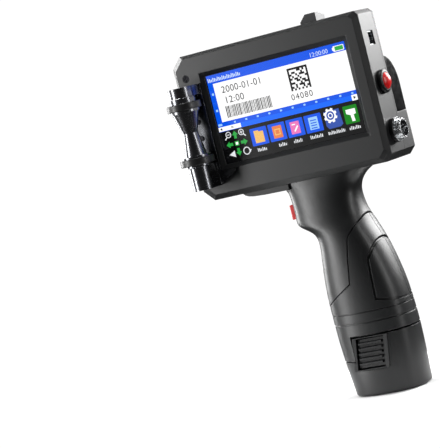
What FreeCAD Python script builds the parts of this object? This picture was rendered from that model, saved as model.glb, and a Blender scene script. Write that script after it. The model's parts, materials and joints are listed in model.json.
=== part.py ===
import FreeCAD, Part
import math
import os

# Handheld date-code inkjet printer: a pistol body with a screen, an ink cartridge bay
# behind it, a guide roller with an encoder at the print end and a battery in the grip.
# Millimetres.  Origin: centre of the battery's flat base.  +Z up, +X towards the port
# end, -X towards the print end, -Y is the screen side.

V = FreeCAD.Vector
far = 300.0                 # beyond the object, for cutting

# ---------------------------------------------------------------- driving dimensions
# Head (the box that carries the screen)
head_left = -86.7           # print end
head_right = 40.8           # port end
head_bottom = 131.8
head_top = 220.3
head_front = -14.8          # screen face
head_part_y = 6.9           # seam between the front and rear shells
head_rear = 21.7            # back of the cartridge bay and of the service bulge
head_wall = 1.8
head_left_chamfer = 6.5     # corner chamfers seen from the front
head_right_chamfer_top = 2.5
head_right_chamfer_bottom = 4.2
bevel_depth = 2.9           # bevel round the screen face
bevel_side = 2.9
bevel_top = 1.9
bevel_bottom = 3.3
seam = 0.2                  # visible gap between the two shells
bay_block_drop = 2.0        # the rear bay block stands this much lower than the front shell

# Screen
screen_x = -18.5
screen_z = 178.3
screen_w = 95.04
screen_h = 53.86
screen_chamfer = 2.7
gasket_t = 0.3
gasket_rim = 3.0
touch_w = 104.0
touch_h = 66.0
touch_t = 1.2
lcd_w = 105.5
lcd_h = 67.2
lcd_t = 2.9

# Main board
board_gap = 0.9
board_t = 1.6
board_margin = 3.0

# Handle: control stations of (height, front X, rear X, screen-side Y, far-side Y)
grip_stations = [
    (134.0, -46.0, 27.0, -11.6, 15.6),
    (130.4, -39.5, 17.8, -11.7, 15.4),
    (126.8, -36.0, 12.4, -12.0, 15.2),
    (121.5, -35.2, 9.2, -13.0, 15.4),
    (117.0, -34.4, 8.6, -13.8, 15.7),
    (111.8, -33.9, 9.0, -15.0, 16.4),
    (107.4, -34.4, 9.8, -16.2, 17.2),
    (104.2, -31.6, 10.8, -17.0, 17.8),
    (101.0, -25.0, 11.8, -17.6, 18.2),
    (96.8, -21.2, 13.4, -18.2, 18.4),
    (87.0, -22.0, 17.4, -18.8, 18.8),
    (71.0, -25.0, 21.6, -19.3, 19.3),
    (55.0, -25.4, 24.2, -19.5, 19.5),
    (36.4, -24.9, 24.7, -19.3, 19.3),
]
base_stations = [
    (36.4, -24.9, 24.7, -19.3, 19.3),
    (22.0, -24.4, 24.7, -19.2, 19.2),
    (0.0, -21.6, 23.4, -18.5, 18.5),
]
corner_fullness = 0.82      # control-net corner reach: 0.7 is near an ellipse, 1 is squarer
handle_part_y = 2.0         # seam between the two handle halves
handle_wall = 2.0
handle_end_z = 36.4         # lower rim of the handle, where the battery begins
collar_end_z = 22.0         # the rim's tongue on the trigger side reaches this low
collar_x = -11.0
skirt_left = -61.5
skirt_edge = [(-59.8, 130.6), (-57.6, 129.6), (-54.4, 129.0), (-46.8, 128.5), (-30.0, 128.2)]
ring_groove_z = 43.6
ring_groove_w = 1.1
ring_groove_depth = 0.8
rim_fillet = 1.6
end_gap = 1.1               # visible gap between the handle and the battery
tongue_clear = 1.0          # lets the tapering case slide past the tongue

# Soft grip pieces, let into the handle
skin_t = 1.1
skin_gap = 0.7
sleeve_outline = [(10.6, 106.0), (9.2, 102.6), (2.6, 94.4), (-0.2, 80.8), (-2.4, 67.2),
                  (-27.0, 53.4), (-27.0, 49.4), (30.0, 49.4), (30.0, 106.0)]
pad_outline = [(17.9, 92.8), (11.7, 78.8), (11.5, 55.8), (30.0, 51.4), (30.0, 92.8)]

# Trigger
trigger_z = 114.3
trigger_h = 8.9
trigger_w = 9.0
trigger_face_x = -36.5
trigger_travel = 2.0
trigger_lip = 1.6
slide_clear = 0.3

# Power button on the port end
port_y = -1.4               # the ports' common centre line
power_z = 177.1
bezel_r = 7.0
bezel_out = 3.0
cap_r = 4.85
cap_out = 5.2

# Data socket on the port end
usb_z = 203.1
usb_w = 7.2
usb_h = 8.4
usb_wall = 0.6
usb_depth = 9.0

# Round chromed connector on the port end
conn_z = 148.3
conn_r = 5.85
conn_out = 6.6
conn_flange_r = 7.05
conn_flange_t = 1.0
conn_bore_r = 4.8
conn_shank_r = 5.4
conn_pin_r = 0.5
conn_pins = 4
conn_pin_circle = 2.2
conn_washer_r = 7.2
conn_washer_t = 2.4
thread_pitch = 1.1
thread_depth = 0.35

# Guide roller
roller_x = -76.8
roller_y = -26.9
upper_boss_r = 7.3
lower_boss_r = 6.5
ring_step_r = 7.8
band_r = 10.4
roller_top = 202.2
upper_boss_h = 6.0
neck_r = 8.0
neck_h = 3.3
upper_band_h = 4.2
step_r = 9.0
upper_step_h = 1.5
cone_top_r = 8.2
waist_r = 4.5
upper_cone_h = 12.4
cone_low_r = 6.7
lower_cone_h = 13.9
lower_step_h = 1.2
lower_band_h = 4.2
foot_step_h = 1.5
lower_boss_h = 13.9
roller_gap = 0.3
axle_r = 2.0
axle_clear = 0.05
bush_r = 3.0
bush_len = 6.0
band_t = 2.2
bracket_t = 1.2
bracket_left = -84.0
bracket_right = -69.2
bracket_foot_x = -58.0
web_inset = 0.6
cup_wall = 0.9
cup_depth = 7.0
disc_r = 5.2
disc_t = 0.6

# Ink cartridge and its bay
cart_x0 = -80.5
cart_x1 = -17.0
cart_z0 = 141.8
cart_z1 = 208.8
cart_y0 = -2.6
cart_t = 26.0
cart_wall = 1.6
cart_clear = 0.5
cart_grip_out = 4.6
snout_len = 5.0
snout_z0 = 154.8
snout_h = 26.0
snout_t = 14.0
print_margin = 3.0
snout_clear = 0.6
bay_wall = 1.5
contact_z = 170.8
contact_in = 8.0
contact_pitch_x = 3.4
contact_pitch_z = 4.2
contact_rows = 4
contact_columns = 3

# Latch that presses the cartridge's tail
latch_pivot_x = -4.5
latch_drop = 12.5           # pivot below the head's top
latch_pivot_z = head_top - latch_drop
latch_y0 = 9.2
latch_w = 10.2
tab_x0 = -6.8
tab_x1 = 4.0
tab_slope = 4.0
tab_back = 21.2
tab_drop = 2.4
latch_rise = 5.8            # tab above the head's top
latch_top = head_top + latch_rise
latch_pin_r = 1.5
latch_arm = 5.0

# Service cover behind the electronics
bulge_left = 6.0
bulge_arc_z = 173.8
bulge_arc_h = 17.7
bulge_low_z = 157.8
cover_wall = 2.0

# Battery
stem_x0 = -17.5
stem_x1 = 14.0
stem_half = 15.0
stem_top = 76.0
stem_r = 9.0
stem_wall = 1.2
cell_r = 7.1
cell_len = 50.0
cell_z = 17.0
cell_gap = 0.1
base_plate_t = 2.0
terminal_w = 5.0
terminal_t = 0.8
terminal_h = 5.0
contact_block_h = 7.0
release_w = 16.6
release_h = 16.8
release_z = 25.6
release_x = 0.6
release_lean = 0.17         # the button leans: X per unit of height
release_face = 19.1
release_out = 0.8
release_t = 3.2
release_travel = 1.4
release_clear = 0.8
release_ribs = 5
rib_root = 1.2              # floor between the ribs, below the release face
frame_rim_x = 3.2
frame_rim_z = 1.3
frame_moat = 0.7
frame_moat_depth = 0.8
frame_out = 0.5

# Screws
screw_r = 1.25
screw_head_r = 2.1
screw_head_h = 1.5
boss_wall = 1.9
head_clear = 0.2
small_screw_r = 0.8
small_head_r = 1.7


# ---------------------------------------------------------------- small helpers
def box(x0, x1, y0, y1, z0, z1):
    return Part.makeBox(x1 - x0, y1 - y0, z1 - z0, V(x0, y0, z0))


def rod(centre, axis, radius, length):
    return Part.makeCylinder(radius, length, V(*centre), V(*axis))


def plate_xz(points, y0, y1):
    """Prism of an outline given as (x, z), from y0 to y1."""
    wire = Part.makePolygon([V(x, y0, z) for x, z in points + points[:1]])
    return Part.Face(wire).extrude(V(0, y1 - y0, 0))


def plate_yz(points, x0, x1):
    """Prism of an outline given as (y, z), from x0 to x1."""
    wire = Part.makePolygon([V(x0, y, z) for y, z in points + points[:1]])
    return Part.Face(wire).extrude(V(x1 - x0, 0, 0))


def rounded_xy(x0, x1, y0, y1, z0, z1, radius):
    """Upright block with its four upright edges rounded."""
    block = box(x0, x1, y0, y1, z0, z1)
    upright = [e for e in block.Edges if abs(e.tangentAt(e.FirstParameter).z) > 0.9]
    return block.makeFillet(radius, upright)


def turned(points, x, y):
    """Solid of revolution about an upright axis, from (radius, z) points."""
    wire = Part.makePolygon([V(x + r, y, z) for r, z in points + points[:1]])
    return Part.Face(wire).revolve(V(x, y, 0), V(0, 0, 1), 360)


def group(shapes):
    return Part.makeCompound(shapes)


def fuse(shapes):
    return shapes[0].multiFuse(shapes[1:]).removeSplitter()


def write(name, shape):
    shape.exportStep("parts/" + name + ".step")
    solids = shape.Solids
    size = sum(s.Volume for s in solids)
    print(name, "solids", len(solids), "volume", round(size, 1), "valid", shape.isValid())


# ---------------------------------------------------------------- handle body
def section_poles(station, inset):
    """Eight control points of a closed rounded section inside the station's four sides."""
    z, xf, xr, yf, yr = station
    cx, cy = (xf + xr) / 2, (yf + yr) / 2
    reach = 3 / (2 + corner_fullness)
    a = ((xr - xf) / 2 - inset) * reach
    b = ((yr - yf) / 2 - inset) * reach
    k = corner_fullness
    net = [(1, 0), (k, k), (0, 1), (-k, k), (-1, 0), (-k, -k), (0, -1), (k, -k)]
    return [V(cx + a * p, cy + b * q, z) for p, q in net]


def lofted(stations, inset):
    """Smooth closed solid whose control net is one closed section per station."""
    rows = [section_poles(s, inset) for s in reversed(stations)]
    poles = [list(column) for column in zip(*rows)]
    count = len(rows)
    degree = min(3, count - 1)
    inner = count - degree
    surface = Part.BSplineSurface()
    surface.buildFromPolesMultsKnots(poles, [1] * 9, [degree + 1] + [1] * (inner - 1) + [degree + 1],
                                     list(range(9)), list(range(inner + 1)), True, False, 3, degree)
    side = surface.toShape()
    rims = [e for e in side.Edges if e.isClosed()]
    caps = [Part.Face(Part.Wire([e])) for e in rims]
    return Part.Solid(Part.makeShell([side] + caps).copy())


def handle_body(inset):
    grip = lofted(grip_stations, inset)
    base = lofted(base_stations, inset)
    return grip.fuse(base)


grip_outer = lofted(grip_stations, 0)
handle_outer = grip_outer.fuse(lofted(base_stations, 0))
handle_skin = lofted(grip_stations, skin_t)
handle_bore = handle_body(handle_wall)


def half_space(y0, y1, z0, z1):
    return box(-far, far, y0, y1, z0, z1)


# ---------------------------------------------------------------- head shells
def head_outline(bevelled):
    side = bevel_side if bevelled else 0
    x0, x1 = head_left + side, head_right - side
    z0 = head_bottom + (bevel_bottom if bevelled else 0)
    z1 = head_top - (bevel_top if bevelled else 0)
    c = head_left_chamfer
    ct, cb = head_right_chamfer_top, head_right_chamfer_bottom
    return [(x0 + c, z0), (x1 - cb, z0), (x1, z0 + cb), (x1, z1 - ct),
            (x1 - ct, z1), (x0 + c, z1), (x0, z1 - c), (x0, z0 + c)]


def inner_outline(gap):
    """The head's outline moved in by a wall."""
    face = Part.Face(Part.makePolygon([V(x, 0, z) for x, z in head_outline(False) +
                                       head_outline(False)[:1]]))
    return face.makeOffset2D(-gap, 2)


def head_room(y0, y1):
    face = inner_outline(head_wall)
    face.translate(V(0, y0, 0))
    return face.extrude(V(0, y1 - y0, 0))


def head_block():
    """Outer form of the front shell's head: a prism with a bevelled screen face."""
    def wire(points, y):
        return Part.makePolygon([V(x, y, z) for x, z in points + points[:1]])
    y1 = head_front + bevel_depth
    bevel = Part.makeLoft([wire(head_outline(True), head_front), wire(head_outline(False), y1)],
                          True, True)
    return bevel.fuse(plate_xz(head_outline(False), y1, head_part_y)).removeSplitter()


inner_x0 = head_left + head_wall
inner_x1 = head_right - head_wall
wall_in_y = head_front + head_wall
gasket_y = wall_in_y
touch_y = gasket_y + gasket_t
lcd_y = touch_y + touch_t
board_y = lcd_y + lcd_t + board_gap
board_back = board_y + board_t

bay_x0 = cart_x0 - cart_clear
bay_x1 = cart_x1 + cart_clear
bay_z0 = cart_z0 - cart_clear
bay_z1 = cart_z1 + cart_clear
bay_floor_y = cart_y0 - cart_clear
snout_y = cart_y0 + cart_t / 2
snout_z1 = snout_z0 + snout_h
block_top = head_top - bay_block_drop
block_bottom = head_bottom + bay_block_drop

# (x, z, y of the screw head's seat, y where the screw ends)
shell_screw_places = [(-70.0, 215.2), (-24.0, 215.2), (30.0, 215.2),
                      (-70.0, 136.5), (32.0, 137.2), (-13.0, 101.3), (-14.0, 124.0)]
front_screw = (-77.9, 206.4)


def rear_seat(x, z):
    """Depth at which a shell screw's head sits, at (x, z) on the back."""
    if z < head_bottom:
        return 10.5
    back = head_rear if x < bulge_left or z < bulge_low_z else head_part_y + head_wall
    return back - screw_head_h


def seam_y(z):
    return head_part_y if z > head_bottom else handle_part_y


def window():
    """Screen opening, wider at the face."""
    def rim(grow, y):
        w, h = screen_w / 2 + grow, screen_h / 2 + grow
        pts = [(screen_x - w, screen_z - h), (screen_x + w, screen_z - h),
               (screen_x + w, screen_z + h), (screen_x - w, screen_z + h)]
        return Part.makePolygon([V(x, y, z) for x, z in pts + pts[:1]])
    slope = screen_chamfer / head_wall
    over = 1.0
    return Part.makeLoft([rim(screen_chamfer + slope * over, head_front - over),
                          rim(0, wall_in_y)], True, True)


def skirt():
    """Shallow pad that leads from the head's underside into the handle."""
    top = head_bottom + 0.5
    pts = [(skirt_left, top)] + skirt_edge + [(skirt_edge[-1][0], top)]
    y0, y1 = grip_stations[1][3] + 0.5, grip_stations[1][4] - 0.5
    return plate_xz(pts, y0, y1)


def sleeve_mask(outline, grow):
    """Prism of a grip piece's outline through the handle, grown or shrunk all round."""
    face = Part.Face(Part.makePolygon([V(x, -60, z) for x, z in outline + outline[:1]]))
    grown = face.makeOffset2D(grow, 2) if grow else face
    return grown.extrude(V(0, 120, 0))


def sleeve_recess():
    """What is cut from the handle so that the soft pieces sit flush."""
    return sleeve_mask(sleeve_outline, 0).cut(handle_skin)


def ring_groove():
    z0 = ring_groove_z - ring_groove_w / 2
    slab = box(-60, 60, -60, 60, z0, z0 + ring_groove_w)
    return slab.cut(lofted(grip_stations, ring_groove_depth))


def collar_cut():
    """Everything below the handle's rim, except the tongue on the trigger side."""
    low = box(collar_x, far, -far, far, -10, handle_end_z)
    return low.fuse(box(-far, collar_x, -far, far, -10, collar_end_z))


def trigger_window():
    w, h = trigger_w / 2 + slide_clear, trigger_h / 2 + slide_clear
    hole = box(-45, trigger_back_x, -w, w, trigger_z - h, trigger_z + h)
    w, h = w + trigger_lip, h + trigger_lip
    x = trigger_back_x
    return hole.fuse(box(x - 1.5, x + 3, -w, w, trigger_z - h, trigger_z + h))


def port_cuts():
    """Openings in the port end for the socket, the switch and the connector."""
    y, x = port_y, head_right - 4
    h, w = usb_h / 2, usb_w / 2
    return [box(x, x + 8, y - w, y + w, usb_z - h, usb_z + h),
            rod((x, y, power_z), (1, 0, 0), bezel_r - 1.3, 8),
            rod((x, y, conn_z), (1, 0, 0), conn_shank_r, 8)]


def handle_front_y(z):
    """Screen-side Y of the handle's inner wall near a height."""
    near = min(grip_stations, key=lambda s: abs(s[0] - z))
    return near[3] + handle_wall


def front_bosses():
    """Threaded posts for the shell screws, and their pilot holes."""
    posts, holes = [], []
    for x, z in shell_screw_places:
        start = (wall_in_y if z > head_bottom else handle_front_y(z)) - 1.0
        length = seam_y(z) - seam / 2 - start
        posts.append(rod((x, start, z), (0, 1, 0), screw_r + boss_wall, length))
        holes.append(rod((x, start + 2.5, z), (0, 1, 0), screw_r, length))
    return posts, holes


def rear_bosses():
    """Posts that the shell screws pull up, with head wells open to the back."""
    posts, holes = [], []
    well_r = screw_head_r + head_clear
    for x, z in shell_screw_places:
        seat = rear_seat(x, z)
        start = seam_y(z) + seam
        posts.append(rod((x, start, z), (0, 1, 0), screw_r + boss_wall, seat - start))
        if z < head_bottom:
            posts.append(rod((x, seat - 1.5, z), (0, 1, 0), well_r + 1.2, 12))
        holes.append(rod((x, start - 1, z), (0, 1, 0), screw_r + 0.1, seat - start + 2))
        holes.append(rod((x, seat, z), (0, 1, 0), well_r, 20))
    return posts, holes


def front_shell():
    head = head_block()
    cavity = head_room(wall_in_y, head_part_y + 1)
    lower = handle_outer.fuse(skirt()).common(half_space(-far, handle_part_y - seam / 2, -10,
                                                       head_bottom + 1.0))
    layers = [sleeve_recess(), ring_groove()]
    bosses, holes = front_bosses()
    holes = holes + bracket_screw_holes()
    body = head.fuse(lower)
    cuts = [cavity, handle_bore, window(), collar_cut(), trigger_window()] + layers
    cuts = cuts + port_cuts()
    cuts.append(print_cut(print_y0, head_part_y + 1))
    for part in cuts:
        body = body.cut(part)
    x, z = front_screw
    body = body.cut(rod((x, head_front - 1, z), (0, 1, 0), screw_head_r + 0.15, 1.0 + 0.9))
    posts = [post.common(handle_outer.fuse(head)) for post in bosses]
    body = fuse([body] + posts)
    for hole in holes:
        body = body.cut(hole)
    return body


print_y0 = snout_y - snout_t / 2 - print_margin
print_y1 = snout_y + snout_t / 2 + print_margin
slot_y0 = snout_y - snout_t / 2 - snout_clear
print_z0 = snout_z0 - 5.0
print_z1 = snout_z1 + 5.0


def cover_profile(inset):
    """Back outline of the service bulge in (y, z): a straight back under a quarter oval."""
    a, b = head_rear - head_part_y - inset, bulge_arc_h - inset
    pts = [(head_part_y, bulge_low_z), (head_part_y + a, bulge_low_z)]
    steps = 14
    for i in range(steps + 1):
        t = math.pi / 2 * i / steps
        pts.append((head_part_y + a * math.cos(t), bulge_arc_z + b * math.sin(t)))
    return pts


def rear_shell():
    y0 = head_part_y + seam
    skin = plate_xz(head_outline(False), y0, head_part_y + head_wall)
    block = plate_xz([(head_left, block_bottom + head_left_chamfer),
                      (head_left + head_left_chamfer, block_bottom), (bulge_left, block_bottom),
                      (bulge_left, block_top), (head_left + head_left_chamfer, block_top),
                      (head_left, block_top - head_left_chamfer)], y0, head_rear)
    outline = [(bulge_left - 0.5, head_bottom), (head_right - head_right_chamfer_bottom, head_bottom),
               (head_right, head_bottom + head_right_chamfer_bottom), (head_right, bulge_low_z),
               (bulge_left - 0.5, bulge_low_z)]
    low = plate_xz(outline, y0, head_rear)
    region = half_space(handle_part_y + seam / 2, far, -10, head_bottom)
    region = region.fuse(half_space(y0, far, -10, head_bottom + 2.1))
    neck = handle_outer.fuse(skirt()).common(region)
    body = fuse([skin, block, low, neck])
    back_in = head_rear - head_wall
    cuts = [box(bay_x0, bay_x1, y0 - 1, head_rear + 1, bay_z0, bay_z1),
            box(inner_x0, bay_x0, y0 - 1, back_in, bay_z0 + 6, bay_z1 - 6),
            box(bay_x1 + bay_wall, bulge_left - head_wall, y0 - 1, back_in, bulge_low_z,
                block_top - head_wall),
            head_room(y0 - 1, back_in).common(box(bay_x1 + bay_wall, far, -far, far,
                                                  block_bottom + head_wall,
                                                  bulge_low_z - head_wall)),
            box(bulge_left + 3, inner_x1 - 2, y0 - 1, head_part_y + head_wall + 1,
                cover_screw_z + 5, bulge_arc_z + 8),
            handle_bore, collar_cut(), trigger_window(), sleeve_recess(),
            ring_groove(), latch_slot(), latch_window(), print_cut(head_part_y - 1, print_y1),
            snout_path()]
    for part in cuts:
        body = body.cut(part)
    walls = [box(bay_x0, bay_x1 + bay_wall, bay_floor_y - bay_wall, y0 + 0.5, bay_z1,
                 bay_z1 + bay_wall),
             box(bay_x0, bay_x1 + bay_wall, bay_floor_y - bay_wall, y0 + 0.5, bay_z0 - bay_wall,
                 bay_z0),
             box(bay_x1, bay_x1 + bay_wall, bay_floor_y - bay_wall, y0 + 0.5, bay_z0, bay_z1),
             box(bay_x0, bay_x1 + bay_wall, bay_floor_y - bay_wall, bay_floor_y, bay_z0, bay_z1)]
    bosses, holes = rear_bosses()
    posts = [post.common(handle_outer.fuse(box(head_left, head_right, y0, head_rear, head_bottom,
                                               block_top))) for post in bosses]
    for x in cover_screw_places():
        posts.append(rod((x, head_part_y + 1, cover_screw_z), (0, 1, 0), screw_r + boss_wall,
                         head_rear - cover_wall - head_part_y - 1.1))
        holes.append(rod((x, head_part_y + 3, cover_screw_z), (0, 1, 0), screw_r, 20))
    body = fuse([body] + walls + posts)
    body = body.cut(latch_window())
    for hole in holes:
        body = body.cut(hole)
    return body


def latch_slot():
    """Slot in the bay block's roof for the latch's finger tab and its swing."""
    return box(tab_x0 - 4.6, tab_x1 + 0.5, latch_y0 - 0.6, latch_y0 + latch_w + 0.3,
               block_top - 8, far)


def latch_window():
    """Window in the bay's end wall for the latch's nose."""
    z0 = latch_pivot_z - 22.0
    return box(bay_x1 - 1, bay_x1 + bay_wall + 1, latch_y0 - 0.6, latch_y0 + latch_w + 0.6,
               z0, z0 + 12.0)


def print_cut(y0, y1):
    """Room for the nose plate in the print end's wall."""
    return box(head_left - 1, inner_x0 + 1.0, y0, y1, print_z0, print_z1)


def snout_path():
    """Way out to the back for the cartridge's snout."""
    return box(head_left - 1, bay_x0 + 1, slot_y0, far, snout_z0 - snout_clear,
               snout_z1 + snout_clear)


# ---------------------------------------------------------------- print end
def print_end_plate():
    """Metal nose plate, forked at the back where the snout slides out, with a skid rail."""
    x0 = head_left
    plate = box(x0, x0 + head_wall, print_y0, print_y1, print_z0, print_z1)
    lip = box(x0 + head_wall, x0 + head_wall + 0.9, print_y0 + 0.4, print_y1 - 0.4, print_z0 + 0.4,
              print_z1 - 0.4)
    rail = box(x0 - 0.6, x0, print_y0 + 0.4, print_y0 + 2.0, print_z0 + 2, print_z1 - 2)
    return fuse([plate, lip, rail]).cut(snout_path())


# ---------------------------------------------------------------- display and board
def centred(w, h, y0, t):
    return box(screen_x - w / 2, screen_x + w / 2, y0, y0 + t, screen_z - h / 2, screen_z + h / 2)


def display_gasket():
    outer = centred(screen_w + 2 * gasket_rim, screen_h + 2 * gasket_rim, gasket_y, gasket_t)
    return outer.cut(centred(screen_w + 0.6, screen_h + 0.6, gasket_y - 1, gasket_t + 2))


def lcd_module():
    frame = centred(lcd_w, lcd_h, lcd_y, lcd_t)
    tail = box(screen_x - 20, screen_x + 5, lcd_y + 1.0, lcd_y + 1.6,
               screen_z - lcd_h / 2 - 2.5, screen_z - lcd_h / 2)
    return frame.fuse(tail)


board_x0 = screen_x - lcd_w / 2 + board_margin
board_x1 = screen_x + lcd_w / 2 - board_margin - 2
board_z0 = screen_z - lcd_h / 2 + board_margin
board_z1 = screen_z + lcd_h / 2 - board_margin


def main_board():
    board = box(board_x0, board_x1, board_y, board_back, board_z0, board_z1)
    for x in (board_x0 + 3.5, board_x1 - 3.5):
        for z in (board_z0 + 3.5, board_z1 - 3.5):
            board = board.cut(rod((x, board_y - 1, z), (0, 1, 0), 1.6, board_t + 2))
    return board


def board_chips():
    """Parts on the back of the board, all in the free space beside the cartridge bay."""
    places = [(-8.0, 172.8, 12.0, 12.0, 1.4), (8.0, 174.8, 9.0, 14.0, 1.1),
              (-6.0, 156.8, 6.0, 5.0, 1.6), (20.0, 154.8, 8.0, 8.0, 4.0),
              (20.0, 190.8, 6.0, 9.0, 2.2), (6.0, 154.8, 5.0, 5.0, 6.0),
              (4.0, 192.8, 10.0, 5.0, 2.0), (26.0, 174.8, 5.0, 7.0, 3.0)]
    chips = [box(x - w / 2, x + w / 2, board_back, board_back + t, z - h / 2, z + h / 2)
             for x, z, w, h, t in places]
    chips.append(rod((-6.0, board_back, 194.8), (0, 1, 0), 4.2, 5.4))
    return group(chips)


def display_ribbon():
    """Flat cable folded from the display's lower edge to the back of the board."""
    z_low = screen_z - lcd_h / 2 - 2.5
    t = 0.25
    x0, x1 = screen_x - 12, screen_x + 4
    pts = [(lcd_y + 1.6, z_low), (lcd_y + 1.6, z_low + 1.2), (lcd_y + 1.6 + t, z_low + 1.2),
           (lcd_y + 1.6 + t, z_low - 0.2), (board_back + 1.0 - t, z_low - 0.2),
           (board_back + 1.0 - t, board_z0 + 4.0), (board_back + 1.0, board_z0 + 4.0),
           (board_back + 1.0, z_low - 0.2 - t), (lcd_y + 1.6, z_low - 0.2 - t)]
    return plate_yz(pts, x0, x1)


# ---------------------------------------------------------------- port end
def usb_socket():
    x1 = head_right - 0.8
    x0 = x1 - usb_depth
    w, h = usb_w / 2 - 0.1, usb_h / 2 - 0.1
    shell = box(x0, x1, port_y - w, port_y + w, usb_z - h, usb_z + h)
    inner = box(x0 + 1, x1 + 1, port_y - w + usb_wall, port_y + w - usb_wall, usb_z - h + usb_wall,
                usb_z + h - usb_wall)
    tongue = box(x0 + 0.5, x1 - 1.2, port_y - 0.4, port_y + 1.2, usb_z - h + 1.7, usb_z + h - 1.7)
    return fuse([shell.cut(inner), tongue])


def power_bezel():
    """Fixed ring of the power button, with its threaded barrel behind the wall."""
    ring = rod((head_right, port_y, power_z), (1, 0, 0), bezel_r, bezel_out)
    edge = [e for e in ring.Edges if e.Length > 10 and e.CenterOfMass.x > head_right + 1]
    ring = ring.makeFillet(1.7, edge)
    barrel = rod((head_right - 9.0, port_y, power_z), (1, 0, 0), bezel_r - 1.4, 9.0)
    bore = rod((head_right - 5.0, port_y, power_z), (1, 0, 0), cap_r + 0.3, 20)
    stem = rod((head_right - 8.0, port_y, power_z), (1, 0, 0), 1.8, 6)
    return fuse([ring, barrel]).cut(bore).cut(stem)


def power_button():
    """Domed cap on its stem."""
    base = rod((head_right - 2.4, port_y, power_z), (1, 0, 0), cap_r, bezel_out + 2.4)
    rise = cap_out - bezel_out
    ball_r = (cap_r ** 2 + rise ** 2) / (2 * rise)
    top = head_right + cap_out
    ball = Part.makeSphere(ball_r, V(top - ball_r, port_y, power_z))
    tube = rod((head_right + bezel_out - 0.1, port_y, power_z), (1, 0, 0), cap_r, 10)
    stem = rod((head_right - 5.4, port_y, power_z), (1, 0, 0), 1.6, 3.2)
    return fuse([base, ball.common(tube), stem])


def connector_washer():
    """Thick black washer between the wall and the connector's flange."""
    ring = rod((head_right, port_y, conn_z), (1, 0, 0), conn_washer_r, conn_washer_t)
    return ring.cut(rod((head_right - 1, port_y, conn_z), (1, 0, 0), conn_shank_r, 10))


def connector_shell():
    """Chromed threaded barrel with its flange; the thread is a row of round lands."""
    x = head_right
    x1 = x + conn_washer_t
    parts = [rod((x1, port_y, conn_z), (1, 0, 0), conn_flange_r, conn_flange_t),
             rod((x1, port_y, conn_z), (1, 0, 0), conn_r - thread_depth, conn_out - conn_washer_t),
             rod((x - 7.0, port_y, conn_z), (1, 0, 0), conn_shank_r - 0.1, 7.5 + conn_washer_t)]
    at = conn_washer_t + conn_flange_t + 0.4
    while at + thread_pitch / 2 <= conn_out:
        parts.append(rod((x + at, port_y, conn_z), (1, 0, 0), conn_r, thread_pitch / 2))
        at = at + thread_pitch
    bore = rod((x + 1.0, port_y, conn_z), (1, 0, 0), conn_bore_r, 20)
    back = rod((x - 8.0, port_y, conn_z), (1, 0, 0), conn_bore_r - 1.2, 20)
    return fuse(parts).cut(bore).cut(back)


def connector_insert():
    disc = rod((head_right + 1.0, port_y, conn_z), (1, 0, 0), conn_bore_r, 2.6)
    hub = rod((head_right - 8.5, port_y, conn_z), (1, 0, 0), conn_bore_r - 1.2, 9.5)
    body = fuse([disc, hub])
    for y, z in connector_pin_places():
        body = body.cut(rod((head_right - 12, y, z), (1, 0, 0), conn_pin_r, 30))
    return body


def connector_pin_places():
    r = conn_pin_circle
    turn = 2 * math.pi / conn_pins
    return [(port_y + r * math.cos(turn * (i + 0.5)), conn_z + r * math.sin(turn * (i + 0.5)))
            for i in range(conn_pins)]


def connector_pins():
    return group([rod((head_right - 11.0, y, z), (1, 0, 0), conn_pin_r, 16.4)
                  for y, z in connector_pin_places()])


def connector_nut():
    r = conn_shank_r + 2.4
    pts = [(port_y + r * math.cos(math.pi / 3 * i), conn_z + r * math.sin(math.pi / 3 * i))
           for i in range(6)]
    x1 = head_right - head_wall
    nut = plate_yz(pts, x1 - 2.4, x1)
    return nut.cut(rod((x1 - 4, port_y, conn_z), (1, 0, 0), conn_shank_r - 0.1, 8))


# ---------------------------------------------------------------- guide roller
z_boss1 = roller_top - upper_boss_h
z_band1 = z_boss1 - neck_h
z_step1 = z_band1 - upper_band_h
z_cone1 = z_step1 - upper_step_h
z_waist = z_cone1 - upper_cone_h
z_cone2 = z_waist - lower_cone_h
z_band2 = z_cone2 - lower_step_h
z_step2 = z_band2 - lower_band_h
z_boss2 = z_step2 - foot_step_h
z_foot = z_boss2 - lower_boss_h


def roller_bracket():
    """Plate on the screen face with the two fixed end bosses."""
    y0, y1 = head_front - bracket_t, head_front
    ledge = screen_z - screen_h / 2 - screen_chamfer - 0.4
    outline = [(bracket_left + 2, z_foot), (-71.0, z_foot + 0.6), (bracket_foot_x - 2.5, ledge - 2),
               (bracket_foot_x, ledge), (bracket_right, ledge), (bracket_right, roller_top),
               (bracket_left + 2, roller_top), (bracket_left, roller_top - 2),
               (bracket_left, z_foot + 2)]
    parts = [plate_xz(outline, y0, y1)]
    for z0, h, r in ((z_boss1, upper_boss_h, upper_boss_r), (z_foot, lower_boss_h, lower_boss_r)):
        parts.append(rod((roller_x, roller_y, z0), (0, 0, 1), r, h))
        half = r - web_inset
        parts.append(box(roller_x - half, roller_x + half, roller_y, y1, z0, z0 + h))
    body = fuse(parts)
    body = body.cut(rod((roller_x, roller_y, z_foot + 2), (0, 0, 1), axle_r, 200))
    body = body.cut(rod((roller_x, roller_y, roller_top - 2), (0, 0, 1), axle_r + 1.6, 5))
    cup = rod((roller_x, roller_y, z_boss2 - cup_depth), (0, 0, 1), lower_boss_r - cup_wall,
              cup_depth + 1)
    body = body.cut(cup)
    for hole in bracket_screw_holes():
        body = body.cut(hole)
    return body


def bracket_screw_holes():
    return [rod((roller_x, head_front - 5, z), (0, 1, 0), small_screw_r, 10)
            for z in bracket_screw_heights()]


def bracket_screw_heights():
    return (z_waist + 5.0, z_waist - 5.0)


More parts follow.
